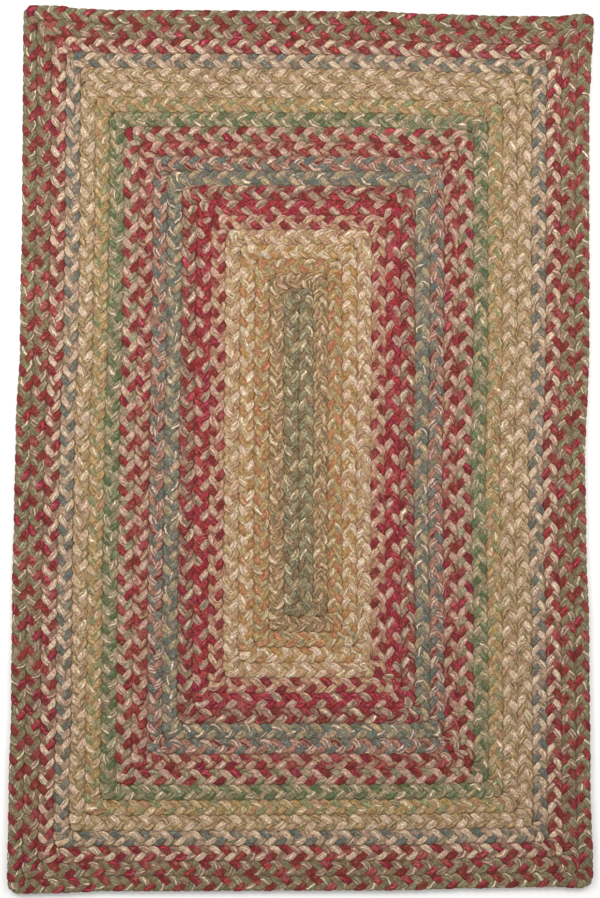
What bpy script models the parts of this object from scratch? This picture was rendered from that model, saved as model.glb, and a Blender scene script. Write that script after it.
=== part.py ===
"""A braided rug: a flat three-strand braid, wound outwards in a rectangle and laced to itself.

Units are metres, +Z up. The rug lies flat on z = 0 with its long side along Y, and its origin is
under the middle of its outline.

The braid starts as a straight run in the middle, turns at each end, and from there follows the
rug's four sides turn after turn. Seen from above it leaves the middle upwards and winds
anticlockwise: up the right side, along the top, down the left side and along the bottom. So the
right and the top side have one run more than the left and the bottom. Its tail tapers off at the
top left corner, and the rug's outer turns are rings of the same braid, each closed on itself.

A groove line is the laced join between two turns. Groove line 0 is the rug's outline, groove line
1 lies one run further in, and so on. Between two neighbouring groove lines the braid stands up as
a rib, on the upper and the under side alike, because such a rug is the same on both.
"""

import math
from collections import namedtuple

import bpy

# --- Driving dimensions -----------------------------------------------------------------------
TURNS = 20  # runs between the right or the top edge and the middle
RINGS = 4  # of these, closed rings round the wound braid
LEFT_PITCH = 0.01830  # width of one run of braid on each side of the rug
RIGHT_PITCH = 0.01756
BOTTOM_PITCH = 0.01850
TOP_PITCH = 0.01780
MIDDLE_LENGTH = 0.363  # the straight run that the braid starts with

THICKNESS = 0.0090  # crest to crest
GROOVE_DEPTH = 0.0024  # how far a laced join lies below the crests beside it
CREST_SHARE = 0.44  # flat part of a run's crest, as a share of its width
CORNER_RADIUS = 0.0085  # how tightly the braid turns

# --- The outline, laced by hand and so a little uneven ----------------------------------------
# along: the place along the edge. out: how far the edge stands outside the plain rectangle.
EdgePoint = namedtuple("EdgePoint", "along out")

LEFT_EDGE = (
    EdgePoint(along=-0.520, out=0.0080),
    EdgePoint(along=-0.409, out=0.0065),
    EdgePoint(along=-0.311, out=0.0035),
    EdgePoint(along=-0.165, out=0.0020),
    EdgePoint(along=-0.067, out=-0.0005),
    EdgePoint(along=0.030, out=-0.0025),
    EdgePoint(along=0.130, out=-0.0075),
    EdgePoint(along=0.320, out=-0.0105),
    EdgePoint(along=0.520, out=-0.0115),
)
RIGHT_EDGE = (
    EdgePoint(along=-0.520, out=0.0080),
    EdgePoint(along=-0.409, out=0.0045),
    EdgePoint(along=-0.213, out=0.0030),
    EdgePoint(along=-0.116, out=-0.0005),
    EdgePoint(along=-0.018, out=-0.0020),
    EdgePoint(along=0.128, out=0.0030),
    EdgePoint(along=0.420, out=0.0030),
    EdgePoint(along=0.470, out=0.0055),
    EdgePoint(along=0.520, out=0.0085),
)
BOTTOM_EDGE = (
    EdgePoint(along=-0.340, out=0.0060),
    EdgePoint(along=-0.293, out=0.0050),
    EdgePoint(along=-0.232, out=0.0025),
    EdgePoint(along=0.110, out=0.0015),
    EdgePoint(along=0.207, out=-0.0010),
    EdgePoint(along=0.305, out=-0.0025),
    EdgePoint(along=0.340, out=-0.0010),
)
TOP_EDGE = (
    EdgePoint(along=-0.340, out=0.0075),
    EdgePoint(along=-0.305, out=0.0070),
    EdgePoint(along=-0.281, out=0.0035),
    EdgePoint(along=-0.232, out=0.0015),
    EdgePoint(along=0.085, out=0.0000),
    EdgePoint(along=0.159, out=-0.0035),
    EdgePoint(along=0.256, out=-0.0060),
    EdgePoint(along=0.305, out=-0.0060),
    EdgePoint(along=0.340, out=-0.0025),
)

# --- How finely the runs are divided ----------------------------------------------------------
# Shares of a side at which a groove line has a point. They crowd towards the uneven corners.
LONG_SIDE_SHARES = (0.0, 0.06, 0.22, 0.41, 0.59, 0.78, 0.94, 1.0)
SHORT_SIDE_SHARES = (0.0, 0.08, 0.20, 0.50, 0.80, 0.92, 1.0)
STATIONS = 2 * (len(LONG_SIDE_SHARES) + len(SHORT_SIDE_SHARES) + 2)  # points in one turn
RIGHT_START = len(LONG_SIDE_SHARES) + len(SHORT_SIDE_SHARES) + 2  # where the right side begins
RIGHT_END = RIGHT_START + len(LONG_SIDE_SHARES) - 1

# --- Worked out from the sizes above ----------------------------------------------------------
MIDDLE_TURN = TURNS - 1  # the groove line round the middle run
HALF_WIDTH = (MIDDLE_TURN * LEFT_PITCH + TURNS * RIGHT_PITCH) / 2
HALF_LENGTH = (MIDDLE_TURN * BOTTOM_PITCH + TURNS * TOP_PITCH + MIDDLE_LENGTH) / 2
# Where the rib's cross-section has its points, as shares of the way from the inner groove line
# to the outer one.
INNER_SHOULDER = (1 - CREST_SHARE) / 2
OUTER_SHOULDER = (1 + CREST_SHARE) / 2

BRAID_COLOUR = (0.47, 0.33, 0.21, 1.0)
BRAID_ROUGHNESS = 0.95


def clear_scene():
    """Remove every object that the file opened with."""
    for old in list(bpy.data.objects):
        bpy.data.objects.remove(old, do_unlink=True)


def edge_offset(edge, along):
    """How far an edge stands outside the plain rectangle, eased from one point to the next."""
    if along <= edge[0].along:
        return edge[0].out
    for start, end in zip(edge, edge[1:]):
        if along <= end.along:
            share = (along - start.along) / (end.along - start.along)
            eased = share * share * (3 - 2 * share)
            return start.out + (end.out - start.out) * eased
    return edge[-1].out


def laid_uneven(x, y):
    """Move a point of the plain rectangle to its place in the rug, fading towards the middle."""
    side_edge = LEFT_EDGE if x < 0 else RIGHT_EDGE
    end_edge = BOTTOM_EDGE if y < 0 else TOP_EDGE
    return (
        x + x / HALF_WIDTH * edge_offset(side_edge, y),
        y + y / HALF_LENGTH * edge_offset(end_edge, x),
    )


def left_line(depth):
    """X of the groove line that lies this many runs inside the left edge."""
    return -HALF_WIDTH + depth * LEFT_PITCH


def right_line(depth):
    """X of the groove line that lies this many runs inside the right edge."""
    return HALF_WIDTH - depth * RIGHT_PITCH


def bottom_line(depth):
    """Y of the groove line that lies this many runs inside the bottom edge."""
    return -HALF_LENGTH + depth * BOTTOM_PITCH


def top_line(depth):
    """Y of the groove line that lies this many runs inside the top edge."""
    return HALF_LENGTH - depth * TOP_PITCH


def corner_radius(*sides):
    """The turning radius that still leaves room on the shortest of these sides."""
    return min(CORNER_RADIUS, *(side / 4 for side in sides))


def groove_line(turn):
    """The points of one turn of the groove line, anticlockwise from the top of the left side.

    In the wound braid a turn begins where the turn outside it ends, one run further in at the top
    than at the left. The rings' turns and the one round the wound braid close on themselves.
    """
    left, right = left_line(turn), right_line(turn)
    bottom, top = bottom_line(turn), top_line(turn)
    start_top = top if turn < RINGS else top_line(turn + 1)
    end_left = left if turn <= RINGS else left_line(turn - 1)
    width, top_width = right - left, right - end_left
    left_height, right_height = start_top - bottom, top - bottom
    start_radius = corner_radius(right_line(turn + 1) - left, left_height)
    bottom_radius = corner_radius(width, left_height)
    top_right_radius = corner_radius(top_width, right_height)
    end_radius = corner_radius(top_width, left_height)

    # Each side: its two corners, the direction along it, its radii and its dividing shares.
    sides = (
        ((left, start_top), (left, bottom), start_radius, bottom_radius, LONG_SIDE_SHARES),
        ((left, bottom), (right, bottom), bottom_radius, bottom_radius, SHORT_SIDE_SHARES),
        ((right, bottom), (right, top), bottom_radius, top_right_radius, LONG_SIDE_SHARES),
        ((right, top), (end_left, top), top_right_radius, end_radius, SHORT_SIDE_SHARES),
    )
    points = []
    for (x0, y0), (x1, y1), radius0, radius1, shares in sides:
        length = math.hypot(x1 - x0, y1 - y0)
        along_x, along_y = (x1 - x0) / length, (y1 - y0) / length
        for share in shares:
            distance = radius0 + share * (length - radius0 - radius1)
            points.append((x0 + along_x * distance, y0 + along_y * distance))
        # The middle of the arc round the corner. The turn there is to the left.
        cut = radius1 * (1 - math.sqrt(0.5))
        points.append((x1 - (along_x + along_y) * cut, y1 - (along_y - along_x) * cut))
    return points


def middle_run_inner_line(around_middle):
    """The inner side of the middle run, as the points of one turn.

    Up the right side it is the left side of the groove line round it, taken the other way. At the
    top it stays at one point, which the braid turns about.
    """
    pivot = around_middle[0]
    points = [pivot] * STATIONS
    for step in range(len(LONG_SIDE_SHARES)):
        points[RIGHT_START + step] = around_middle[len(LONG_SIDE_SHARES) - 1 - step]
    return points


def ribbed_points():
    """Every point of the ribbed surface seen from above.

    Returns the points, and a function that gives the index of a groove's or a shoulder's point
    from its turn and station. A station past the end of a turn is the first one of the turn that
    the braid goes on into.
    """
    grooves = [groove_line(turn) for turn in range(TURNS)]
    inner_lines = grooves[1:] + [middle_run_inner_line(grooves[MIDDLE_TURN])]
    points = []
    index = {}

    def add(name, turn, station, x, y):
        index[name, turn, station] = len(points)
        points.append(laid_uneven(x, y))

    for turn in range(TURNS):
        for station in range(STATIONS):
            outer = grooves[turn][station]
            inner = inner_lines[turn][station]
            add("groove", turn, station, *outer)
            if turn == MIDDLE_TURN and station < RIGHT_START:
                continue  # the braid begins at the foot of the middle run
            for name, share in (("inner", INNER_SHOULDER), ("outer", OUTER_SHOULDER)):
                x = inner[0] + share * (outer[0] - inner[0])
                y = inner[1] + share * (outer[1] - inner[1])
                add(name, turn, station, x, y)

    def point_of(name, turn, station):
        if turn == TURNS:
            # The middle run's inner line is the groove line round it, or the pivot at its top.
            step = min(station, RIGHT_END) - RIGHT_START
            return index["groove", MIDDLE_TURN, len(LONG_SIDE_SHARES) - 1 - step]
        if station == STATIONS and turn < RINGS:
            return index[name, turn, 0]
        if station == STATIONS and turn == RINGS:
            return index["groove", RINGS, 0]  # the tail tapers to a point
        if station == STATIONS:
            return index[name, turn - 1, 0]
        return index[name, turn, station]

    return points, point_of


def without_repeats(corners):
    """A face's corners with those that fell together taken out, or None if no face is left."""
    kept = [c for i, c in enumerate(corners) if c != corners[i - 1]]
    return kept if len(set(kept)) > 2 else None


def ribbed_faces(point_of):
    """The faces of the ribbed surface, anticlockwise seen from above."""
    faces = []
    for turn in range(TURNS):
        first = RIGHT_START if turn == MIDDLE_TURN else 0
        for station in range(first, STATIONS):
            # From the inner groove over the crest to the outer groove.
            lines = (("groove", turn + 1), ("inner", turn), ("outer", turn), ("groove", turn))
            for near, far in zip(lines, lines[1:]):
                faces.append([
                    point_of(*near, station),
                    point_of(*far, station),
                    point_of(*far, station + 1),
                    point_of(*near, station + 1),
                ])
    faces += middle_run_foot(point_of)
    return [kept for kept in map(without_repeats, faces) if kept]


def middle_run_foot(point_of):
    """The rounded end that closes the braid's first run, at its foot."""
    first = len(LONG_SIDE_SHARES) - 1
    rim = [point_of("groove", MIDDLE_TURN, station) for station in range(first, RIGHT_START + 1)]
    inner = point_of("inner", MIDDLE_TURN, RIGHT_START)
    outer = point_of("outer", MIDDLE_TURN, RIGHT_START)
    middle = len(rim) // 2
    faces = [[inner, rim[i], rim[i + 1]] for i in range(middle)]
    faces.append([inner, rim[middle], outer])
    faces += [[outer, rim[i], rim[i + 1]] for i in range(middle, len(rim) - 1)]
    return faces


def rug_mesh():
    """The rug's closed mesh: the ribs above, the same ribs below, and the rim between them."""
    points, point_of = ribbed_points()
    shoulders = {
        point_of(name, turn, station)
        for name in ("inner", "outer")
        for turn in range(TURNS)
        for station in range(RIGHT_START if turn == MIDDLE_TURN else 0, STATIONS)
    }
    middle_x = (min(x for x, _ in points) + max(x for x, _ in points)) / 2
    middle_y = (min(y for _, y in points) + max(y for _, y in points)) / 2
    upper, under = [], []
    for number, (x, y) in enumerate(points):
        drop = 0.0 if number in shoulders else GROOVE_DEPTH
        upper.append((x - middle_x, y - middle_y, THICKNESS - drop))
        under.append((x - middle_x, y - middle_y, drop))

    count = len(points)
    upper_faces = ribbed_faces(point_of)
    under_faces = [[corner + count for corner in reversed(face)] for face in upper_faces]
    rim = [point_of("groove", 0, station) for station in range(STATIONS)]
    rim_faces = [
        [rim[i - 1], rim[i - 1] + count, rim[i] + count, rim[i]] for i in range(STATIONS)
    ]
    mesh = bpy.data.meshes.new("braided_rug")
    mesh.from_pydata(upper + under, [], upper_faces + under_faces + rim_faces)
    mesh.update()
    return mesh


def braid_material():
    """Heathered wool-blend yarn: matt, with the rug's average colour."""
    material = bpy.data.materials.new("braid_yarn")
    material.use_nodes = True
    shader = material.node_tree.nodes["Principled BSDF"]
    shader.inputs["Base Color"].default_value = BRAID_COLOUR
    shader.inputs["Roughness"].default_value = BRAID_ROUGHNESS
    shader.inputs["Metallic"].default_value = 0.0
    return material


def build_rug():
    """Place the rug in the scene."""
    rug = bpy.data.objects.new("braided_rug", rug_mesh())
    rug.data.materials.append(braid_material())
    bpy.context.scene.collection.objects.link(rug)
    return rug


clear_scene()
build_rug()
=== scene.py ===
"""Looks of the braided rug: its three-strand braids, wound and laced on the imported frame.

Most of the rug is one flat braid. It starts as a straight run in the middle and winds outwards,
seen from above anticlockwise, until its tail tapers off in the top left corner. Four closed rings
of the same braid lie round it. At some corners the maker splices in strands of other colours, so
each set of three strands makes a band of its own, and each band is one piece here. All lengths
are in metres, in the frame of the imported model.
"""

import logging
import math
from collections.abc import Sequence
from dataclasses import dataclass
from enum import Enum

import bpy
import numpy as np
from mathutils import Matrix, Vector


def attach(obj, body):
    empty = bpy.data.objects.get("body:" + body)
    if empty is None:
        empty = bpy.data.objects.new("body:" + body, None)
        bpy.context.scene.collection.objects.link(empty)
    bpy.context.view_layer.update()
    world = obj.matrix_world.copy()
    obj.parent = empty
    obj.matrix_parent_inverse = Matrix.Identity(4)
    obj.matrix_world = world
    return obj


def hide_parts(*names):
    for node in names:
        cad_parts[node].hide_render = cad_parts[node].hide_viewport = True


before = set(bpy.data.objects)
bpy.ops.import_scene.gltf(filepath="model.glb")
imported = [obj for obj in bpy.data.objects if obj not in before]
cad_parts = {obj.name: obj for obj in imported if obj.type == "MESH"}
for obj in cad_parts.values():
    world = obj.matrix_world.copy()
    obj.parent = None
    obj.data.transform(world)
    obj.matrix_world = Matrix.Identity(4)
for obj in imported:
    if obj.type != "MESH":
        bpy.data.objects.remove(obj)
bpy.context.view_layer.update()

Array = np.ndarray
Depth = float | Array  # in runs from the rug's edge
Tree = bpy.types.NodeTree
Node = bpy.types.Node
Socket = bpy.types.NodeSocket
Inputs = Sequence[object] | dict[str | int, object]
LOG = logging.getLogger("braided_rug")

RUG_NODE = "braided_rug"
YARN_MAP = "yarn_lay"  # the UV map: U counts the yarns across a strand, V runs along it


# --- Small helpers ---


def linear(hex_colour: str) -> tuple[float, float, float, float]:
    """Turn an sRGB hex colour into Blender's linear one.

    Args:
        hex_colour: The colour as six hex digits, such as "A83A42".

    Returns:
        Red, green, blue and an alpha of 1, linear.
    """
    channels = [int(hex_colour[i:i + 2], 16) / 255 for i in (0, 2, 4)]
    red, green, blue = (
        c / 12.92 if c <= 0.04045 else ((c + 0.055) / 1.055) ** 2.4 for c in channels
    )
    return red, green, blue, 1.0


def eased(share: Array) -> Array:
    """Ease a share from 0 to 1 in and out."""
    return share * share * (3 - 2 * share)


def wander(place: Array, seed: int, cells: int = 4096) -> Array:
    """Smooth random numbers from -1 to 1, with a new one at each whole number.

    Args:
        place: Where to read them.
        seed: Which sequence of numbers to read.
        cells: After how many numbers the sequence comes round again.

    Returns:
        One number for each place.
    """
    table = np.random.default_rng(seed).uniform(-1, 1, cells)
    cell = np.floor(place).astype(int)
    share = eased(place - cell)
    return table[cell % cells] * (1 - share) + table[(cell + 1) % cells] * share


def add_node(tree: Tree, kind: str, inputs: Inputs = (), **settings: object) -> Node:
    """Add a node with its settings, and give its inputs a value or a link.

    Args:
        tree: The node tree to add to.
        kind: The node's type, without "ShaderNode" before it.
        inputs: The inputs in their order, or by name or number. Each has a value, or the socket
            that feeds it, or the node that feeds it from its first output in use.
        settings: The node's properties and their values.

    Returns:
        The new node.
    """
    node = tree.nodes.new("ShaderNode" + kind)
    for name, value in settings.items():
        setattr(node, name, value)
    for name, value in inputs.items() if isinstance(inputs, dict) else enumerate(inputs):
        if isinstance(value, Node):
            value = next(output for output in value.outputs if output.enabled)
        if isinstance(value, Socket):
            tree.links.new(value, node.inputs[name])
        else:
            node.inputs[name].default_value = value
    return node


def make_piece(
    name: str,
    points: Array,
    faces: list[Array],
    yarn_map: Array,
    face_slots: Array,
    materials: list[bpy.types.Material],
) -> bpy.types.Object:
    """Make a smooth-shaded piece of the rug.

    Args:
        name: The piece's name.
        points: One row of X, Y and Z for each vertex.
        faces: Groups of faces; each group holds faces with the same number of corners.
        yarn_map: One row of U and V for each corner of each face, in the order of the faces.
        face_slots: The number of each face's material.
        materials: The materials, in slot order.

    Returns:
        The piece, linked to the scene.
    """
    mesh = bpy.data.meshes.new(name)
    corners = np.concatenate([group.ravel() for group in faces])
    sizes = np.concatenate([np.full(len(group), group.shape[1]) for group in faces])
    starts = np.concatenate([[0], np.cumsum(sizes)[:-1]])
    mesh.vertices.add(len(points))
    mesh.vertices.foreach_set("co", points.astype(np.float32).ravel())
    mesh.loops.add(len(corners))
    mesh.loops.foreach_set("vertex_index", corners.astype(np.int32))
    mesh.polygons.add(len(sizes))
    mesh.polygons.foreach_set("loop_start", starts.astype(np.int32))
    mesh.polygons.foreach_set("material_index", face_slots.astype(np.int32))
    mesh.update(calc_edges=True)
    layer = mesh.uv_layers.new(name=YARN_MAP)
    layer.uv.foreach_set("vector", yarn_map.astype(np.float32).ravel())
    for material in materials:
        mesh.materials.append(material)
    mesh.shade_smooth()
    piece = bpy.data.objects.new(name, mesh)
    bpy.context.scene.collection.objects.link(piece)
    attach(piece, "root")
    return piece


# --- The rug's layout ---


class Corner(Enum):
    """The rug's corners.

    Each has the angle at which the braid enters its turn, and how square the rug's rim is there.
    """

    TOP_LEFT = (90, 4.8)
    BOTTOM_LEFT = (180, 4.2)
    BOTTOM_RIGHT = (270, 3.8)
    TOP_RIGHT = (0, 5.2)

    @property
    def entry_angle(self) -> int:
        """The angle at which the braid enters its turn."""
        return self.value[0]

    @property
    def rim_squareness(self) -> float:
        """How square the rug's rim is here."""
        return self.value[1]


@dataclass(frozen=True)
class Edge:
    """One edge of the hand-laced rug, as points along it that stand in or out a little."""

    along: tuple[float, ...]
    out: tuple[float, ...]  # how far each point lies outside the plain rectangle

    def offset(self, along: Array) -> Array:
        """How far the edge stands out, eased from one of its points to the next.

        Args:
            along: Places along the edge.

        Returns:
            The distance outside the plain rectangle at each place.
        """
        places, outs = np.array(self.along), np.array(self.out)
        held = np.clip(along, places[0], places[-1])
        first = np.clip(np.searchsorted(places, held) - 1, 0, len(places) - 2)
        share = eased((held - places[first]) / (places[first + 1] - places[first]))
        return outs[first] + (outs[first + 1] - outs[first]) * share


@dataclass(frozen=True)
class RugLayout:
    """The hand-laced rug's outline and the groove lines between its turns, as in the solid."""

    turns: int = 20
    rings: int = 4  # of these turns, closed rings round the wound braid
    left_pitch: float = 0.01830
    right_pitch: float = 0.01756
    bottom_pitch: float = 0.01850
    top_pitch: float = 0.01780
    middle_length: float = 0.363
    foot_reach: float = 0.0025  # of the middle run, past its groove line
    thickness: float = 0.0090
    corner_radius: float = 0.0085
    left_edge: Edge = Edge(
        along=(-0.520, -0.409, -0.311, -0.165, -0.067, 0.030, 0.130, 0.320, 0.520),
        out=(0.0080, 0.0065, 0.0035, 0.0020, -0.0005, -0.0025, -0.0075, -0.0105, -0.0115),
    )
    right_edge: Edge = Edge(
        along=(-0.520, -0.409, -0.213, -0.116, -0.018, 0.128, 0.420, 0.470, 0.520),
        out=(0.0080, 0.0045, 0.0030, -0.0005, -0.0020, 0.0030, 0.0030, 0.0055, 0.0085),
    )
    bottom_edge: Edge = Edge(
        along=(-0.340, -0.293, -0.232, 0.110, 0.207, 0.305, 0.340),
        out=(0.0060, 0.0050, 0.0025, 0.0015, -0.0010, -0.0025, -0.0010),
    )
    top_edge: Edge = Edge(
        along=(-0.340, -0.305, -0.281, -0.232, 0.085, 0.159, 0.256, 0.305, 0.340),
        out=(0.0075, 0.0070, 0.0035, 0.0015, 0.0000, -0.0035, -0.0060, -0.0060, -0.0025),
    )

    @property
    def half_width(self) -> float:
        """Half the plain rectangle's width."""
        return ((self.turns - 1) * self.left_pitch + self.turns * self.right_pitch) / 2

    @property
    def half_length(self) -> float:
        """Half the plain rectangle's length."""
        ends = (self.turns - 1) * self.bottom_pitch + self.turns * self.top_pitch
        return (ends + self.middle_length) / 2

    def left(self, depth: Depth) -> Depth:
        """X of the groove line this many runs inside the left edge."""
        return -self.half_width + depth * self.left_pitch

    def right(self, depth: Depth) -> Depth:
        """X of the groove line this many runs inside the right edge."""
        return self.half_width - depth * self.right_pitch

    def bottom(self, depth: Depth) -> Depth:
        """Y of the groove line this many runs inside the bottom edge."""
        return -self.half_length + depth * self.bottom_pitch

    def top(self, depth: Depth) -> Depth:
        """Y of the groove line this many runs inside the top edge."""
        return self.half_length - depth * self.top_pitch

    def laid_uneven(self, x: Array, y: Array) -> tuple[Array, Array]:
        """Move points of the plain rectangle to their places in the uneven rug.

        Args:
            x: X in the plain rectangle.
            y: Y in the plain rectangle.

        Returns:
            X and Y in the rug.
        """
        side = np.where(x < 0, self.left_edge.offset(y), self.right_edge.offset(y))
        end = np.where(y < 0, self.bottom_edge.offset(x), self.top_edge.offset(x))
        return x + x / self.half_width * side, y + y / self.half_length * end


class Axis(Enum):
    """The axis that a straight run lies along."""

    X = "X"
    Y = "Y"


@dataclass(frozen=True)
class StraightRun:
    """A straight run of braid between two corners.

    It lies along its axis from start to end, and its two grooves are at a place each on the other.
    """

    name: str
    axis: Axis
    inner: float
    outer: float
    start: float
    end: float

    @property
    def braid_length(self) -> float:
        """How much braid the run takes."""
        return abs(self.end - self.start)

    @property
    def to_middle(self) -> float:
        """How much braid the run takes up to the rug's middle line that it crosses."""
        return math.copysign(self.start, -self.start * (self.end - self.start))

    def place(self, share: Array, across: Array) -> tuple[Array, Array]:
        """Where points of the run lie in the plain rectangle.

        Args:
            share: How far along the run, from 0 to 1.
            across: From -1 on the inner groove to 1 on the outer one.

        Returns:
            X and Y.
        """
        lengthways = self.start + share * (self.end - self.start)
        sideways = self.inner + (across + 1) / 2 * (self.outer - self.inner)
        return (lengthways, sideways) if self.axis is Axis.X else (sideways, lengthways)


@dataclass(frozen=True)
class CornerTurn:
    """A quarter turn of the braid, fanned about a pivot just inside it.

    The fan's inner rim is an arc round the pivot, and its outer rim is the rounded corner of the
    groove line outside, so the lobes bunch on the inside and stretch on the outside.
    """

    name: str
    corner: Corner
    on_rim: bool  # whether its outer side is the rug's own rim
    pivot: tuple[float, float]
    inner_radius: float
    reach: tuple[float, float]  # from the pivot to the outer rim, along X and along Y
    inner_squareness: float = 6.0  # of the groove lines' corners; 2 is round
    bunching: float = 1.5  # braid that the maker eases in, for each length of the middle line

    @property
    def braid_length(self) -> float:
        """How much braid the turn takes."""
        middle = (self.inner_radius + sum(self.reach) / 2) / 2
        return self.bunching * middle * math.pi / 2

    def place(self, share: Array, across: Array) -> tuple[Array, Array]:
        """Where points of the turn lie in the plain rectangle.

        Args:
            share: How far round the turn, from 0 to 1.
            across: From -1 on the inner groove to 1 on the outer one.

        Returns:
            X and Y.
        """
        angle = np.radians(self.corner.entry_angle + 90 * share)
        over_x = np.abs(np.cos(angle)) / self.reach[0]
        over_y = np.abs(np.sin(angle)) / self.reach[1]
        power = self.corner.rim_squareness if self.on_rim else self.inner_squareness
        outer = (over_x**power + over_y**power) ** (-1 / power)
        radius = self.inner_radius + (across + 1) / 2 * (outer - self.inner_radius)
        return self.pivot[0] + radius * np.cos(angle), self.pivot[1] + radius * np.sin(angle)


@dataclass
class Course:
    """One braid's way through the rug, as its straight runs and its turns in order.

    The maker eases a little more or less braid into each turn, so that the lobes of a run fit
    between the lobes of the runs beside it.
    """

    sections: list[StraightRun | CornerTurn]
    period: float
    closed: bool

    def __post_init__(self) -> None:
        """Work out how much braid each section takes."""
        self.lengths = [section.braid_length for section in self.sections]
        if self.closed:
            total = self.period * round(sum(self.lengths) / self.period)
            easing = total / sum(self.lengths)
            self.lengths = [length * easing for length in self.lengths]
        start = self._ease_turns()
        if self.closed:
            self.lengths[-1] += total - sum(self.lengths)
        self.starts = start + np.concatenate([[0.0], np.cumsum(self.lengths)])

    @property
    def start(self) -> float:
        """The place along the braid where the course begins."""
        return float(self.starts[0])

    @property
    def end(self) -> float:
        """The place along the braid where the course ends."""
        return float(self.starts[-1])

    def _ease_turns(self) -> float:
        """Ease braid into each turn, so that each run passes its middle at a whole lobe.

        Returns:
            The place along the braid where the course begins.
        """
        beat = self.period / 3
        start = before = 0.0
        for number, section in enumerate(self.sections):
            if isinstance(section, StraightRun):
                stretch = self.lengths[number] / section.braid_length
                middle = before + stretch * section.to_middle
                easing = round(middle / beat) * beat - middle
                before += easing
                if number:
                    self.lengths[number - 1] += easing
                else:
                    start = easing
            before += self.lengths[number]
        return start

    def start_of(self, name: str) -> float:
        """How much braid lies before the middle of a turn, or before the start of a run."""
        number = [section.name for section in self.sections].index(name)
        share = 0.5 if isinstance(self.sections[number], CornerTurn) else 0.0
        return float(self.starts[number] + share * self.lengths[number])

    def place(self, along: Array, across: Array) -> tuple[Array, Array]:
        """Where points of the braid lie in the plain rectangle.

        Args:
            along: How much braid lies before each point.
            across: From -1 on the inner groove to 1 on the outer one.

        Returns:
            X and Y.
        """
        if self.closed:
            along = self.start + (along - self.start) % (self.end - self.start)
        x, y = np.empty_like(along), np.empty_like(along)
        number = np.clip(np.searchsorted(self.starts, along, "right") - 1, 0, len(self.sections) - 1)
        for i in np.unique(number):
            here = number == i
            share = (along[here] - self.starts[i]) / self.lengths[i]
            x[here], y[here] = self.sections[i].place(share, across[here])
        return x, y


@dataclass
class RugPlan:
    """The courses of the rug's braids: the wound one and the closed rings round it."""

    period: float
    layout: RugLayout = RugLayout()
    tail_share: float = 0.72  # how far round its last turn the tapering tail still shows
    rim_points: int = 4000  # along the rug's rim, to find its box

    def __post_init__(self) -> None:
        """Lay out the courses, and find the rug's middle."""
        lay = self.layout
        turns = [self._turn(turn) for turn in reversed(range(lay.turns))]
        self.wound = Course(sum(turns[:-lay.rings], []), self.period, closed=False)
        self.rings = [Course(ring, self.period, closed=True) for ring in turns[-lay.rings:]]
        rim = np.linspace(self.rings[-1].start, self.rings[-1].end, self.rim_points)
        x, y = lay.laid_uneven(*self.rings[-1].place(rim, np.ones(self.rim_points)))
        self.middle = ((x.min() + x.max()) / 2, (y.min() + y.max()) / 2)

    @property
    def wound_end(self) -> float:
        """Where the wound braid's tail ends."""
        return self.wound.end - (1 - self.tail_share) * self.wound.lengths[-1]

    def laid(self, x: Array, y: Array) -> tuple[Array, Array]:
        """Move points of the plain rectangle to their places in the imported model."""
        x, y = self.layout.laid_uneven(x, y)
        return x - self.middle[0], y - self.middle[1]

    def _turn(self, turn: int) -> list[StraightRun | CornerTurn]:
        """The sections of one turn of braid, between the groove lines at its two sides.

        A turn starts with the run down the left side. The one in the middle of the rug has only
        the run up the right side and the top.

        Args:
            turn: The number of turns outside this one.

        Returns:
            The sections in order.
        """
        lay = self.layout
        inner = turn + 1
        is_middle = turn == lay.turns - 1
        on_rim = turn == 0
        radius = min(lay.corner_radius, (lay.right(inner) - lay.left(inner)) / 4)
        top_radius = 0.0 if is_middle else lay.corner_radius
        low_y, top_y = lay.bottom(inner) + radius, lay.top(inner) - top_radius
        inner_right = lay.left(turn) if is_middle else lay.right(inner)
        left_x, right_x = lay.left(inner) + radius, inner_right - top_radius
        foot = lay.bottom(turn) - lay.foot_reach if is_middle else low_y
        # The wound braid steps out by one run at the top left, and its tail tapers off there.
        end = inner if turn < lay.rings else turn
        end_x = lay.left(end) + top_radius
        end_reach = end_x - lay.left(max(end - 1, lay.rings if turn == lay.rings else 0))
        right = [
            StraightRun(f"R{inner}", Axis.Y, inner_right, lay.right(turn), foot, top_y),
            CornerTurn(
                f"into T{inner}", Corner.TOP_RIGHT, on_rim, (right_x, top_y), top_radius,
                (lay.right(turn) - right_x, lay.top_pitch + top_radius),
            ),
        ]
        into_next = CornerTurn(
            f"into L{end}", Corner.TOP_LEFT, on_rim, (end_x, top_y), top_radius,
            (end_reach, lay.top_pitch + top_radius),
        )
        if is_middle:
            return right + [into_next]
        first = inner if turn < lay.rings else inner + 1
        start_y = lay.top(first) - (0.0 if turn == lay.turns - 2 else lay.corner_radius)
        low_x = lay.right(inner) - radius
        return [
            StraightRun(f"L{inner}", Axis.Y, lay.left(inner), lay.left(turn), start_y, low_y),
            CornerTurn(
                f"into B{inner}", Corner.BOTTOM_LEFT, on_rim, (left_x, low_y), radius,
                (lay.left_pitch + radius, lay.bottom_pitch + radius),
            ),
            StraightRun(f"B{inner}", Axis.X, lay.bottom(inner), lay.bottom(turn), left_x, low_x),
            CornerTurn(
                f"into R{inner}", Corner.BOTTOM_RIGHT, on_rim, (low_x, low_y), radius,
                (lay.right_pitch + radius, lay.bottom_pitch + radius),
            ),
            *right,
            StraightRun(f"T{inner}", Axis.X, lay.top(inner), lay.top(turn), right_x, end_x),
            into_next,
        ]


# --- Yarns and finishes ---


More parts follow.
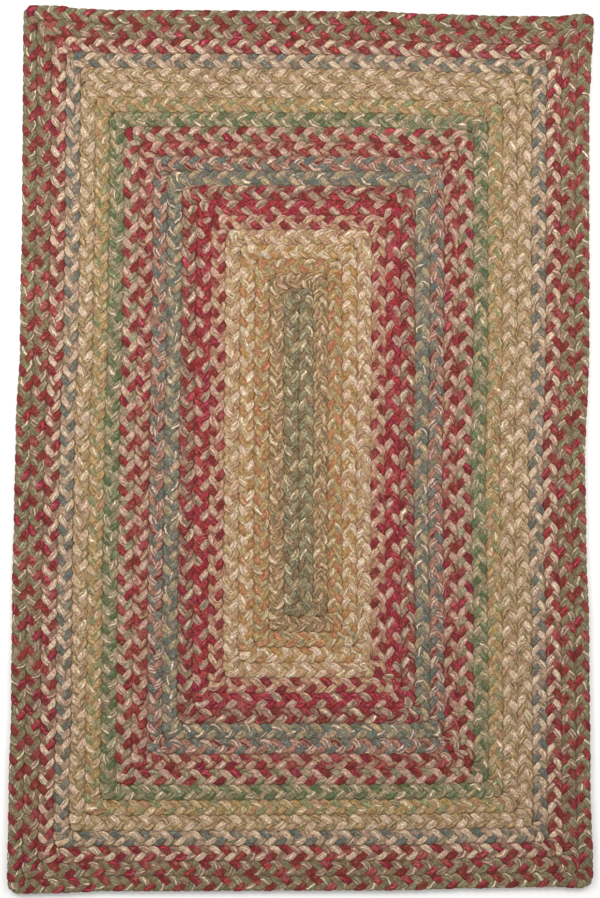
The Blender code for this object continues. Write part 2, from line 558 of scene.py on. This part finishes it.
class Yarn(Enum):
    """Heathered wool-blend yarns: each has its main colour and that of the fibres carded into it."""

    RED = ("813733", "99544D")
    CRIMSON = ("AE3645", "B65C5E")
    MAROON = ("70302C", "8A4C44")
    OLIVE = ("80745A", "9A8870")
    DARK_OLIVE = ("6C644E", "867A60")
    SAGE = ("908868", "A69E7C")
    CREAM = ("E8D2B2", "D0B290")
    PINK_CREAM = ("DCB8A2", "C09882")
    ROSE_CREAM = ("C49E8A", "A47A68")
    OATMEAL = ("BCA488", "9E846A")
    TAN = ("C6A67E", "AA8C64")
    BROWN = ("9C7E5A", "84684C")
    GOLD = ("B0925E", "987C4E")
    ORANGE = ("C08C5C", "AA724A")
    SALMON = ("BE8E76", "A6745E")
    RUST = ("B0684E", "A2785A")
    ROSE = ("A67A6A", "8C6254")
    GREEN = ("687050", "7A7E5C")
    LIGHT_GREEN = ("989468", "86825E")
    SLATE = ("76726B", "9C8274")
    BLUE_GREEN = ("68756A", "88866E")


NOISE_RANGE = (0.3, 0.7)  # nearly all of Blender's noise lies in it


@dataclass(frozen=True)
class Streaks:
    """Patches of noise drawn out along the yarns, and the values that they stand for."""

    per_yarn: float  # how many patches lie across one yarn
    length_mm: float
    low: float = 0.0  # the value in the darkest patches
    high: float = 1.0  # the value in the lightest ones
    detail: float = 3.0  # how much finer noise lies over the patches


@dataclass(frozen=True)
class YarnStrand:
    """A strand of the braid: soft-spun yarns lying side by side, in this order round the strand.

    Wool-blend yarn is matt and a little fuzzy, so it shows no gloss. Each yarn's colour has painted
    light on its round and painted shade where it meets the next one, its plies and fibres give it a
    fine slanting grain, and the carded fibres show as streaks of a second colour. Where the strands
    dip between each other the yarn's colour has a painted shade of warm brown.
    """

    name: str
    yarns: tuple[Yarn, ...]
    plumpness: float = 1.0
    roughness: float = 0.92
    specular: float = 0.15
    fuzz: float = 0.6  # sheen of the loose fibres
    fuzz_roughness: float = 0.6
    wavers: Streaks = Streaks(0.5, 5.0)
    waver_yarns: float = 2.2  # how far the yarns stray from their places, in yarns
    lobe_dye: Streaks = Streaks(0.08, 14.0, 0.76, 0.99)  # lighter and darker lobes
    lobe_hue: Streaks = Streaks(0.08, 19.6, 0.489, 0.511)  # 0.5 leaves a hue as it is
    lengths: Streaks = Streaks(3.7, 6.8, 0.62, 1.15)  # lighter and darker lengths of one yarn
    grain: Streaks = Streaks(1.2, 1.7, 0.64, 1.33, detail=1.0)
    flecks: Streaks = Streaks(7.3, 4.0)
    fleck_edge: tuple[float, float] = (0.78, 0.92)  # from the yarn's colour to its flecks'
    lobe_flecks: float = 0.6  # how much more flecked some lobes are than others
    painted_gap_shade_and_crown_light: tuple[float, float] = (0.74, 1.04)  # painted shade where a yarn meets the next one, and painted light on top
    crown_start: float = 0.75  # of the yarn's round, where the painted light on top is full
    painted_shade_colour: str = "D4B89C"  # painted shade, a warm brown, on the yarn down between the strands
    painted_shade_edge: tuple[float, float] = (0.15, 0.65)  # where the painted shade ends, up the braid's half thickness
    half_thickness: float = 0.0045
    relief_mm: float = 0.45
    ply_length_mm: float = 3.5
    ply_relief: float = 0.12  # as a share of the yarn's round
    fibres: Streaks = Streaks(5.0, 2.0)
    fibre_relief: float = 0.5

    def material(self) -> bpy.types.Material:
        """Make the strand's material, or give the one made before."""
        name = f"wool_blend_{self.name}"
        made = bpy.data.materials.get(name)
        if made:
            return made
        made = bpy.data.materials.new(name)
        made.use_nodes = True
        tree = made.node_tree
        nodes = StrandNodes(self, tree)
        colour = nodes.colour()
        shader = tree.nodes["Principled BSDF"]
        shader.inputs["Roughness"].default_value = self.roughness
        shader.inputs["Specular IOR Level"].default_value = self.specular
        shader.inputs["Sheen Weight"].default_value = self.fuzz
        shader.inputs["Sheen Roughness"].default_value = self.fuzz_roughness
        tree.links.new(colour, shader.inputs["Base Color"])
        tree.links.new(colour, shader.inputs["Sheen Tint"])
        tree.links.new(nodes.relief(), shader.inputs["Normal"])
        return made


@dataclass
class StrandNodes:
    """The nodes of one strand's material."""

    look: YarnStrand
    tree: Tree

    def __post_init__(self) -> None:
        """Find the places round the strand, in yarns, and along it, and the round of each yarn."""
        tree = self.tree
        split = add_node(tree, "SeparateXYZ", [add_node(tree, "UVMap", uv_map=YARN_MAP)])
        self.along = split.outputs["Y"]  # in metres
        straight = split.outputs["X"]
        waver = (self._noise(self.look.wavers, straight), self.look.waver_yarns, straight)
        self.across = add_node(tree, "Math", waver, operation="MULTIPLY_ADD")
        # The round goes from 0 where a yarn meets the next one to 1 on its crown.
        half_turns = add_node(tree, "Math", (self.across, math.pi), operation="MULTIPLY")
        wave = add_node(tree, "Math", [half_turns], operation="SINE")
        self.round = add_node(tree, "Math", [wave], operation="ABSOLUTE")

    def _noise(self, streaks: Streaks, across: Node | Socket) -> Node:
        """Noise in a kind of streaks."""
        tree = self.tree
        wide = add_node(tree, "Math", (across, streaks.per_yarn), operation="MULTIPLY")
        long = add_node(tree, "Math", (self.along, 1000 / streaks.length_mm), operation="MULTIPLY")
        place = add_node(tree, "CombineXYZ", (wide, long))
        look = {"Vector": place, "Scale": 1.0, "Detail": streaks.detail}
        return add_node(tree, "TexNoise", look)

    def _values(self, streaks: Streaks, noise: Node) -> Node:
        """The noise, spread over the values that its streaks stand for."""
        return add_node(self.tree, "MapRange", (noise, *NOISE_RANGE, streaks.low, streaks.high))

    def colour(self) -> Socket:
        """Yarn colours with carded flecks, lighter and darker lengths, and painted shade and light.
        """
        look, tree, across = self.look, self.tree, self.across
        # A yarn's own number keeps its lengths and flecks apart from its neighbour's.
        own = add_node(tree, "Math", [across], operation="FLOOR")
        lobes = self._noise(look.lobe_dye, across)
        flecked = (lobes, look.lobe_flecks, self._noise(look.flecks, own))
        fleck = add_node(tree, "Math", flecked, operation="MULTIPLY_ADD")
        share = add_node(tree, "MapRange", (fleck, *look.fleck_edge, 0.0, 1.0))
        colours = {0: share, 6: self._yarn_colours(0), 7: self._yarn_colours(1)}
        yarn = add_node(tree, "Mix", colours, data_type="RGBA")
        hue = self._values(look.lobe_hue, self._noise(look.lobe_hue, across))
        dyed = add_node(tree, "HueSaturation", {"Hue": hue, "Color": yarn})

        # Lightness: each yarn's own lengths, the lobes' dye and the grain, and last painted shade
        # where the yarns meet, with painted light on their crowns.
        light = self._values(look.lengths, self._noise(look.lengths, own))
        for more in (
            self._values(look.lobe_dye, lobes),
            self._values(look.grain, self._noise(look.grain, across)),
            add_node(tree, "MapRange", (self.round, 0.0, look.crown_start, *look.painted_gap_shade_and_crown_light)),
        ):
            light = add_node(tree, "Math", (light, more), operation="MULTIPLY")
        # Then the painted shade down between the strands darkens the colour.
        for more in (light, self._painted_join_shade()):
            both = {0: 1.0, 6: dyed, 7: more}
            dyed = add_node(tree, "Mix", both, data_type="RGBA", blend_type="MULTIPLY")
        return dyed.outputs[2]

    def _yarn_colours(self, part: int) -> Node:
        """Each yarn's main colour, part 0, or its flecks' colour, part 1."""
        yarns = self.look.yarns
        rounds = add_node(self.tree, "Math", (self.across, len(yarns)), operation="DIVIDE")
        share = add_node(self.tree, "Math", [rounds], operation="FRACT")
        ramp = add_node(self.tree, "ValToRGB", [share])
        ramp.color_ramp.interpolation = "CONSTANT"
        stops = ramp.color_ramp.elements
        while len(stops) < len(yarns):
            stops.new(0.5)
        for number, yarn in enumerate(yarns):
            stops[number].position = number / len(yarns)
            stops[number].color = linear(yarn.value[part])
        return ramp

    def _painted_join_shade(self) -> Node:
        """Painted shade: white on the lobes, and a warm brown shade down between the strands."""
        look, tree = self.look, self.tree
        place = add_node(tree, "TexCoord").outputs["Object"]
        level = add_node(tree, "SeparateXYZ", [place]).outputs["Z"]
        above = add_node(tree, "Math", (level, look.half_thickness), operation="SUBTRACT")
        height = add_node(tree, "Math", [above], operation="ABSOLUTE")
        share = add_node(tree, "Math", (height, look.half_thickness), operation="DIVIDE")
        # Painted shade: the colour darkens towards the braid's half height, where the strands dip.
        ramp = add_node(tree, "ValToRGB", [share])
        colours = (linear(look.painted_shade_colour), linear("FFFFFF"))
        for stop, position, colour in zip(ramp.color_ramp.elements, look.painted_shade_edge, colours):
            stop.position = position
            stop.color = colour
        return ramp

    def relief(self) -> Socket:
        """The round of each yarn, the slant of its plies, and its fibres."""
        look, tree = self.look, self.tree
        per_metre = 2000 * math.pi / look.ply_length_mm
        turns = add_node(tree, "Math", (self.along, per_metre), operation="MULTIPLY")
        slant = (self.across, 2 * math.pi, turns)
        plies = add_node(tree, "Math", slant, operation="MULTIPLY_ADD")
        wave = add_node(tree, "Math", [plies], operation="SINE")
        plied = (wave, look.ply_relief, self.round)
        height = add_node(tree, "Math", plied, operation="MULTIPLY_ADD")
        fibrous = (self._noise(look.fibres, self.across), look.fibre_relief, height)
        height = add_node(tree, "Math", fibrous, operation="MULTIPLY_ADD")
        bump = {"Strength": 1.0, "Distance": look.relief_mm / 1000, "Height": height}
        return add_node(tree, "Bump", bump).outputs["Normal"]


def strand(
    name: str, main: Yarn, second: Yarn, accent: Yarn, plumpness: float = 1.0
) -> YarnStrand:
    """A strand with more of its main yarn, some of the second and a little of the accent."""
    return YarnStrand(name, (main, main, second, main, accent, main, second), plumpness)


@dataclass(frozen=True)
class Band:
    """A stretch of braid in three colours.

    In the wound braid it starts at the turn where the maker spliced its strands in.
    """

    name: str
    strands: tuple[YarnStrand, YarnStrand, YarnStrand]
    starts_at: str = ""


Y = Yarn
SAGE_ALL = strand("sage", Y.SAGE, Y.OLIVE, Y.DARK_OLIVE)
SAGE_CREAM = strand("sage_cream_line", Y.SAGE, Y.TAN, Y.CREAM)
BROWN_OLIVE = strand("brown_olive", Y.BROWN, Y.OLIVE, Y.DARK_OLIVE)
BROWN_TAN = strand("brown_tan", Y.BROWN, Y.TAN, Y.OLIVE)
TAN_BROWN = strand("tan_brown", Y.TAN, Y.BROWN, Y.OLIVE)
TAN_CREAM = strand("tan_cream_line", Y.TAN, Y.ROSE, Y.CREAM)
ORANGE_RUST = strand("orange_rust_line", Y.ORANGE, Y.SALMON, Y.RUST)
GOLD_TAN = strand("gold_tan", Y.GOLD, Y.TAN, Y.TAN)
SAGE_LINE = strand("tan_sage_cream_line", Y.TAN, Y.SAGE, Y.CREAM)
OLIVE_CREAM = strand("olive_cream_line", Y.OLIVE, Y.SAGE, Y.CREAM)
CREAM_TAN = strand("cream_tan", Y.CREAM, Y.PINK_CREAM, Y.TAN)
ORANGE_GOLD = strand("orange_gold", Y.ORANGE, Y.GOLD, Y.TAN)
TAN_ALL = strand("tan", Y.TAN, Y.TAN, Y.CREAM)
TAN_SALMON = strand("tan_salmon", Y.TAN, Y.SALMON, Y.ROSE)
RED_ALL = strand("red", Y.RED, Y.RED, Y.CRIMSON, plumpness=1.1)
SALMON_TAN = strand("salmon_tan", Y.SALMON, Y.TAN, Y.ROSE)
SALMON_CREAM = strand("salmon_cream", Y.PINK_CREAM, Y.SALMON, Y.TAN)
CRIMSON_ALL = strand("crimson", Y.CRIMSON, Y.RED, Y.MAROON, plumpness=1.06)
GREY_PINK = strand("grey_pink_cream", Y.ROSE_CREAM, Y.PINK_CREAM, Y.OLIVE)
MIXED_CREAM = strand("mixed_cream", Y.ROSE_CREAM, Y.OLIVE, Y.CREAM)
ROSE_MAROON = strand("rose_maroon", Y.ROSE, Y.MAROON, Y.OLIVE)
BLUE_GREEN_ALL = strand("blue_green", Y.BLUE_GREEN, Y.SLATE, Y.OLIVE)
YELLOW_TAN = strand("yellow_tan", Y.OATMEAL, Y.SAGE, Y.TAN)
SLATE_CREAM = strand("slate_cream_line", Y.SLATE, Y.OLIVE, Y.CREAM)
SLATE_ALL = strand("slate", Y.SLATE, Y.BLUE_GREEN, Y.DARK_OLIVE)
ROSE_SALMON = strand("rose_salmon", Y.ROSE, Y.SALMON, Y.MAROON)
CREAM_SLATE = strand("cream_slate_line", Y.PINK_CREAM, Y.SLATE, Y.ROSE)
DULL_CREAM = strand("dull_cream", Y.ROSE_CREAM, Y.PINK_CREAM, Y.OATMEAL)
ROSE_RED = strand("rose_red", Y.ROSE, Y.RED, Y.TAN)
PINK_CREAM_ALL = strand("pink_cream", Y.PINK_CREAM, Y.ROSE_CREAM, Y.OATMEAL)
SAGE_OLIVE = strand("sage_olive", Y.SAGE, Y.OLIVE, Y.ROSE_CREAM)
GREEN_ALL = strand("green", Y.GREEN, Y.GREEN, Y.SAGE)
SAGE_TAN = strand("sage_tan", Y.SAGE, Y.OLIVE, Y.TAN)
PALE_GREEN = strand("pale_green_cream", Y.SAGE, Y.OATMEAL, Y.CREAM)
LIGHT_GREEN_ALL = strand("light_green", Y.LIGHT_GREEN, Y.SAGE, Y.TAN)
GOLD_ORANGE = strand("gold_orange", Y.GOLD, Y.TAN, Y.SALMON)
TAN_GOLD = strand("tan_gold", Y.OATMEAL, Y.TAN, Y.GOLD)
BOLD_CREAM = strand("bold_cream", Y.CREAM, Y.PINK_CREAM, Y.OATMEAL, plumpness=0.88)
DULL_TAN = strand("dull_tan", Y.OATMEAL, Y.ROSE_CREAM, Y.OLIVE)
BOLD_PINK = strand("bold_pink_cream", Y.CREAM, Y.PINK_CREAM, Y.ROSE_CREAM, plumpness=0.88)
ROSE_PINK = strand("rose_pink_cream", Y.ROSE, Y.OLIVE, Y.PINK_CREAM)
OLIVE_PINK = strand("olive_pink_cream", Y.OLIVE, Y.ROSE_CREAM, Y.PINK_CREAM)
OLIVE_ALL = strand("olive", Y.OLIVE, Y.BROWN, Y.SAGE)

# From the middle outwards. A name such as "into R19" is the corner that leads into run 19 on the
# right, counted from the rug's edge.
WOUND_BANDS = (
    Band("sage_middle", (SAGE_ALL, SAGE_CREAM, BROWN_OLIVE), "R20"),
    Band("olive_brown", (BROWN_TAN, TAN_BROWN, TAN_CREAM), "into R19"),
    Band("salmon_gold", (ORANGE_RUST, GOLD_TAN, SAGE_LINE), "into R18"),
    Band("cream_orange", (CREAM_TAN, ORANGE_GOLD, TAN_ALL), "into R17"),
    Band("cream_gold", (CREAM_TAN, TAN_ALL, TAN_SALMON), "into R16"),
    Band("red_cream_inner", (RED_ALL, SALMON_CREAM, SALMON_TAN), "into R15"),
    Band("crimson", (CRIMSON_ALL, GREY_PINK, CRIMSON_ALL), "into R14"),
    Band("dull_crimson", (RED_ALL, MIXED_CREAM, ROSE_MAROON), "into R13"),
    Band("blue_green", (BLUE_GREEN_ALL, YELLOW_TAN, SLATE_CREAM), "into R12"),
    Band("slate_salmon", (SLATE_ALL, ROSE_SALMON, CREAM_SLATE), "into R11"),
    Band("red_rose", (RED_ALL, DULL_CREAM, ROSE_RED), "into R10"),
    Band("red_pink", (RED_ALL, PINK_CREAM_ALL, SAGE_OLIVE), "into R9"),
    Band("green", (GREEN_ALL, SAGE_TAN, PALE_GREEN), "into R8"),
    Band("green_gold", (LIGHT_GREEN_ALL, GOLD_ORANGE, TAN_ALL), "into R7"),
    Band("cream_tan", (CREAM_TAN, TAN_BROWN, TAN_GOLD), "into R6"),
)
RING_BANDS = (
    Band("slate_cream", (SLATE_ALL, BOLD_CREAM, DULL_TAN)),
    Band("red_cream_outer", (RED_ALL, BOLD_PINK, ROSE_PINK)),
    Band("red_olive", (RED_ALL, OLIVE_ALL, OLIVE_PINK)),
    Band("red_olive_edge", (RED_ALL, OLIVE_ALL, OLIVE_CREAM)),
)


# --- The braid ---


@dataclass(frozen=True)
class Braid:
    """A flat three-strand braid of soft yarn strands.

    Each strand swings from edge to edge. It comes in from an edge over the strand beside it,
    dives at the middle, and goes out to the other edge underneath.
    """

    period: float = 0.0361  # of one strand, edge to edge and back
    width: float = 0.0182
    sway: float = 0.0063  # how far a strand's middle swings to each side
    straightness: float = 0.05  # of its way across; 0 is a plain wave
    lift: float = 0.0012  # how far it swings up and down
    half_width: float = 0.0050
    edge_half_width: float = 0.0043
    half_thickness: float = 0.0033
    fullness: float = 0.85  # of the strand's section: 1 is an ellipse, less is fuller
    foot_length: float = 0.012
    foot_narrowness: float = 0.7  # of the braid's width, where it starts
    rings_per_period: int = 12
    sides: int = 10
    yarns_round: int = 14
    # The handwork's small unevennesses: so many to a period, in radians or as shares.
    uneven_per_period: int = 4
    uneven_phase: float = 0.10
    uneven_sway: float = 0.05
    uneven_lift: float = 0.10
    uneven_width: float = 0.07
    uneven_twist: float = 0.25

    def ring_after(self, along: float) -> int:
        """The number of the first ring at or after this place."""
        return math.ceil(along / self.period * self.rings_per_period - 0.5)

    def rings(
        self, one: YarnStrand, number: int, first: int, last: int, cells: int = 4096
    ) -> tuple[Array, Array, Array]:
        """The rings of one strand of the straight braid.

        Args:
            one: The strand.
            number: Its number in the braid, from 0 to 2.
            first: The number of its first ring.
            last: The number of its last ring.
            cells: After how many of them its small unevennesses come round again.

        Returns:
            The points as rings, sides, and along, across and height; how much braid lies before
            each ring; and the twist of the yarns at each ring.
        """
        along = self.period / self.rings_per_period * (0.5 + np.arange(first - 1, last + 2))
        place = along / self.period * self.uneven_per_period
        seed = 100 * number
        phase = 2 * math.pi * (along / self.period + number / 3)
        phase = phase + self.uneven_phase * wander(place, seed + 1, cells)
        sway = self.sway * (1 + self.uneven_sway * wander(place, seed + 2, cells))
        lift = self.lift * (1 + self.uneven_lift * wander(place, seed + 3, cells))
        plump = one.plumpness * (1 + self.uneven_width * wander(place, seed + 4, cells))
        twist = self.uneven_twist * self.yarns_round * wander(place / 2, seed + 5, cells // 2)

        swing = np.sin(phase) - self.straightness * np.sin(3 * phase)
        swing /= 1 + self.straightness
        middle = np.stack([along, sway * swing, -lift * np.sin(2 * phase)], 1)
        tangent = np.gradient(middle, axis=0)
        tangent /= np.linalg.norm(tangent, axis=1)[:, None]
        sideways = np.stack([-tangent[:, 1], tangent[:, 0], np.zeros(len(along))], 1)
        sideways /= np.linalg.norm(sideways, axis=1)[:, None]
        upwards = np.cross(tangent, sideways)

        on_lobe = np.sin(2 * phase) ** 2
        half_width = self.edge_half_width + (self.half_width - self.edge_half_width) * on_lobe
        angle = 2 * math.pi * np.arange(self.sides) / self.sides
        wide = np.copysign(np.abs(np.cos(angle)) ** self.fullness, np.cos(angle))
        thick = np.copysign(np.abs(np.sin(angle)) ** self.fullness, np.sin(angle))
        points = (
            middle[:, None]
            + ((plump * half_width)[:, None] * wide)[..., None] * sideways[:, None]
            + (self.half_thickness * thick)[:, None] * upwards[:, None]
        )
        return points[1:-1], along[1:-1], twist[1:-1]


@dataclass
class BraidBand:
    """One band: a stretch of a course in its three colours, as one piece of strands."""

    braid: Braid
    plan: RugPlan
    course: Course
    band: Band
    number: int
    start: float
    end: float
    splice_stagger: float = 0.012  # the strands are spliced one after the other
    grain_offset: float = 7.3  # keeps one strand's grain apart from the next one's
    rim_start: float = 0.7  # how far out the rug's outermost run starts to flatten
    rim_flatness: float = 0.62

    def build(self) -> bpy.types.Object:
        """Make the band's three strands.

        Returns:
            The piece.
        """
        points, faces, maps, slots = [], [], [], []
        count = 0
        for strand_number, one in enumerate(self.band.strands):
            laid, along, twist = self._strand(one, strand_number)
            rings, sides = laid.shape[:2]
            numbers = count + np.arange(rings * sides).reshape(rings, sides)
            lay = along + self.grain_offset * strand_number
            if self.course.closed:
                numbers = np.concatenate([numbers, numbers[:1]])
                twist = np.append(twist, twist[0])
                lay = np.append(lay, 2 * lay[-1] - lay[-2])
            beside = np.roll(numbers, -1, axis=1)
            tube = np.stack([numbers[:-1], beside[:-1], beside[1:], numbers[1:]], -1)
            yarns = self.braid.yarns_round / sides * np.arange(sides + 1)
            whole_map = np.stack(np.broadcast_arrays(yarns + twist[:, None], lay[:, None]), -1)
            corner_maps = (
                whole_map[:-1, :-1], whole_map[:-1, 1:], whole_map[1:, 1:], whole_map[1:, :-1]
            )
            points.append(laid.reshape(-1, 3))
            faces.append(tube.reshape(-1, 4))
            maps.append(np.stack(corner_maps, 2).reshape(-1, 2))
            slots += [strand_number] * len(faces[-1])
            if not self.course.closed:
                faces.append(np.stack([numbers[0][::-1], numbers[-1]]))
                maps.append(np.concatenate([whole_map[0, :-1][::-1], whole_map[-1, :-1]]))
                slots += [strand_number] * 2
            count += rings * sides
        return make_piece(
            f"braid_{self.number:02d}_{self.band.name}",
            np.concatenate(points),
            faces,
            np.concatenate(maps),
            np.array(slots),
            [one.material() for one in self.band.strands],
        )

    def _strand(self, one: YarnStrand, number: int) -> tuple[Array, Array, Array]:
        """One strand's rings, laid in the rug and standing on the floor.

        Args:
            one: The strand.
            number: Its number in the braid.

        Returns:
            The points as rings, sides, and X, Y and Z; how much braid lies before each ring; and
            the twist of the yarns at each ring.
        """
        course, braid = self.course, self.braid
        if course.closed:
            rings = round((course.end - course.start) / braid.period) * braid.rings_per_period
            first = braid.ring_after(course.start)
            cells = rings // braid.rings_per_period * braid.uneven_per_period
            points, along, twist = braid.rings(one, number, first, first + rings - 1, cells)
        else:
            shift = self.splice_stagger * (number - 1)
            start = self.start + shift if self.start > course.start else course.start
            end = min(self.end + shift, self.plan.wound_end)
            first = braid.ring_after(start)
            points, along, twist = braid.rings(one, number, first, braid.ring_after(end))
        narrow = 1.0
        if not course.closed:
            into_foot = np.clip((along - course.start) / braid.foot_length, 0, 1)
            widening = (1 - braid.foot_narrowness) * into_foot * (2 - into_foot)
            narrow = (braid.foot_narrowness + widening)[:, None]
        across = points[..., 1] * narrow / (braid.width / 2)
        if course is self.plan.rings[-1]:
            past = np.maximum(across - self.rim_start, 0)
            across = across - (1 - self.rim_flatness) * past
        x, y = self.plan.laid(*course.place(points[..., 0].ravel(), across.ravel()))
        z = np.clip(points[..., 2].ravel() + self.plan.layout.thickness / 2, 0.0, None)
        return np.stack([x, y, z], 1).reshape(points.shape), along, twist


@dataclass
class LacedGround:
    """The flat ground of the rug, where its runs are laced together.

    It is the yarn pressed together between the runs and under the crossings, seen only in the
    depth of the joins. Its yarn is the dark brown-olive one, and at its height the painted shade of
    the joins is at its deepest, so what shows of it is partly the lacing yarn and mostly painted
    shade.
    """

    plan: RugPlan
    rim_inset: float = 0.0060
    half_thickness: float = 0.0008
    middle_cells: int = 19  # along the straight run in the middle
    yarn_width: float = 0.0025

    def build(self) -> bpy.types.Object:
        """Make the ground as one thin closed sheet with a cell for each crossing of two runs.

        Returns:
            The piece.
        """
        lay = self.plan.layout
        depths = np.arange(lay.turns + 1)
        bottoms, tops = lay.bottom(depths[:-1]), lay.top(depths[::-1])
        middles = np.linspace(bottoms[-1], tops[0], self.middle_cells + 1)[1:-1]
        x_lines = np.concatenate([lay.left(depths[:-1]), lay.right(depths[-2::-1])])
        y_lines = np.concatenate([bottoms, middles, tops])
        x_lines[[0, -1]] += (self.rim_inset, -self.rim_inset)
        y_lines[[0, -1]] += (self.rim_inset, -self.rim_inset)
        grid_x, grid_y = np.meshgrid(x_lines, y_lines, indexing="ij")
        x, y = self.plan.laid(grid_x.ravel(), grid_y.ravel())
        middle = np.full(len(x), lay.thickness / 2)
        upper = np.stack([x, y, middle + self.half_thickness], 1)
        under = np.stack([x, y, middle - self.half_thickness], 1)
        number = np.arange(grid_x.size).reshape(grid_x.shape)
        cells = np.stack([number[:-1, :-1], number[1:, :-1], number[1:, 1:], number[:-1, 1:]], -1)
        cells = cells.reshape(-1, 4)
        rim = np.concatenate(
            [number[:-1, 0], number[-1, :-1], number[:0:-1, -1], number[0, :0:-1]]
        )
        wall = np.stack([rim, rim + len(x), np.roll(rim, -1) + len(x), np.roll(rim, -1)], 1)
        faces = np.concatenate([cells, cells[:, ::-1] + len(x), wall[:, ::-1]])
        points = np.concatenate([upper, under])
        corners = points[faces.ravel()]
        return make_piece(
            "laced_ground",
            points,
            [faces],
            np.stack([corners[:, 0] / self.yarn_width, corners[:, 1]], 1),
            np.zeros(len(faces)),
            # Dark brown-olive yarn, taking the painted join shade nearly at its deepest here.
            [BROWN_OLIVE.material()],
        )


# --- The studio ---


@dataclass(frozen=True)
class MattPaint:
    """Matt white studio paint: it shows soft shadows and no reflections."""

    name: str = "matt_white_paint"
    colour: str = "FBFAF8"
    roughness: float = 0.95
    specular: float = 0.2

    def material(self) -> bpy.types.Material:
        """Make the material."""
        made = bpy.data.materials.new(self.name)
        made.use_nodes = True
        shader = made.node_tree.nodes["Principled BSDF"]
        shader.inputs["Base Color"].default_value = linear(self.colour)
        shader.inputs["Roughness"].default_value = self.roughness
        shader.inputs["Specular IOR Level"].default_value = self.specular
        return made


@dataclass(frozen=True)
class StudioLamp:
    """A soft box: where it stands, how large it is, and how bright."""

    name: str
    place: tuple[float, float, float]
    size: float
    watts: float


@dataclass
class Studio:
    """A plain pale floor, the camera straight above the rug, and soft light.

    The soft boxes hang beside the rug's far half, so the light falls off towards its near end.
    """

    floor_half_side: float = 4.0
    floor_drop: float = 0.0003  # under the rug, so that their faces don't coincide
    camera_height: float = 3.2
    camera_x: float = -0.0006
    camera_y: float = 0.0006
    view_length: float = 1.0955  # of the floor seen from the picture's top to its bottom
    sensor: float = 0.036
    sky: str = "F4F4F4"
    sky_strength: float = 0.71
    lamps: tuple[StudioLamp, ...] = (
        StudioLamp("key_soft_box", (-0.8, 0.44, 1.05), 0.8, 11.6),
        StudioLamp("fill_soft_box", (0.76, 0.4, 1.0), 0.8, 8.3),
    )

    def build(self) -> None:
        """Make the floor, the lights and the camera."""
        self._floor()
        self._light()
        self._camera()
        bpy.context.scene.view_settings.view_transform = "Standard"

    def _floor(self) -> None:
        """A flat floor just under the rug."""
        half = self.floor_half_side
        mesh = bpy.data.meshes.new("floor")
        corners = [(-half, -half, 0), (half, -half, 0), (half, half, 0), (-half, half, 0)]
        mesh.from_pydata(corners, [], [(0, 1, 2, 3)])
        mesh.materials.append(MattPaint().material())
        floor = bpy.data.objects.new("floor", mesh)
        floor.location.z = -self.floor_drop
        bpy.context.scene.collection.objects.link(floor)

    def _light(self) -> None:
        """The soft boxes and the pale room around them."""
        for lamp in self.lamps:
            light = bpy.data.lights.new(lamp.name, "AREA")
            light.shape = "SQUARE"
            light.size = lamp.size
            light.energy = lamp.watts
            holder = bpy.data.objects.new(lamp.name, light)
            holder.location = lamp.place
            holder.rotation_euler = Vector(lamp.place).to_track_quat("Z", "Y").to_euler()
            bpy.context.scene.collection.objects.link(holder)
        world = bpy.data.worlds.new("pale_room")
        world.use_nodes = True
        background = world.node_tree.nodes["Background"]
        background.inputs["Color"].default_value = linear(self.sky)
        background.inputs["Strength"].default_value = self.sky_strength
        bpy.context.scene.world = world

    def _camera(self) -> None:
        """The camera looks straight down, with the rug's far end at the picture's top."""
        lens = bpy.data.cameras.new("camera")
        lens.sensor_fit = "VERTICAL"
        lens.lens = 1000 * self.sensor * self.camera_height / self.view_length
        lens.sensor_height = 1000 * self.sensor
        camera = bpy.data.objects.new("camera", lens)
        camera.location = (self.camera_x, self.camera_y, self.camera_height)
        bpy.context.scene.collection.objects.link(camera)
        bpy.context.scene.camera = camera


def write_sizes() -> None:
    """Bring the scene's placements up to date."""
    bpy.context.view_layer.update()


def build_bands(plan: RugPlan, braid: Braid) -> list[bpy.types.Object]:
    """Make every band, from the middle outwards, and report each.

    Args:
        plan: The courses of the rug's braids.
        braid: The braid.

    Returns:
        The pieces.
    """
    bands = []
    starts = [plan.wound.start_of(band.starts_at) for band in WOUND_BANDS] + [plan.wound_end]
    for band, start, end in zip(WOUND_BANDS, starts, starts[1:]):
        bands.append(BraidBand(braid, plan, plan.wound, band, len(bands) + 1, start, end))
    for band, ring in zip(RING_BANDS, plan.rings):
        bands.append(BraidBand(braid, plan, ring, band, len(bands) + 1, ring.start, ring.end))
    pieces = []
    for band in bands:
        piece = band.build()
        LOG.info("%s: %d faces", piece.name, len(piece.data.polygons))
        pieces.append(piece)
    return pieces


def main() -> None:
    """Build the rug and its studio, and report each piece."""
    logging.basicConfig(level=logging.INFO, format="%(name)s: %(message)s", force=True)
    braid = Braid()
    plan = RugPlan(braid.period)
    pieces = build_bands(plan, braid)
    ground = LacedGround(plan).build()
    LOG.info("%s: %d faces", ground.name, len(ground.data.polygons))
    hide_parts(RUG_NODE)
    Studio().build()
    write_sizes()


if __name__ == "__main__":
    main()
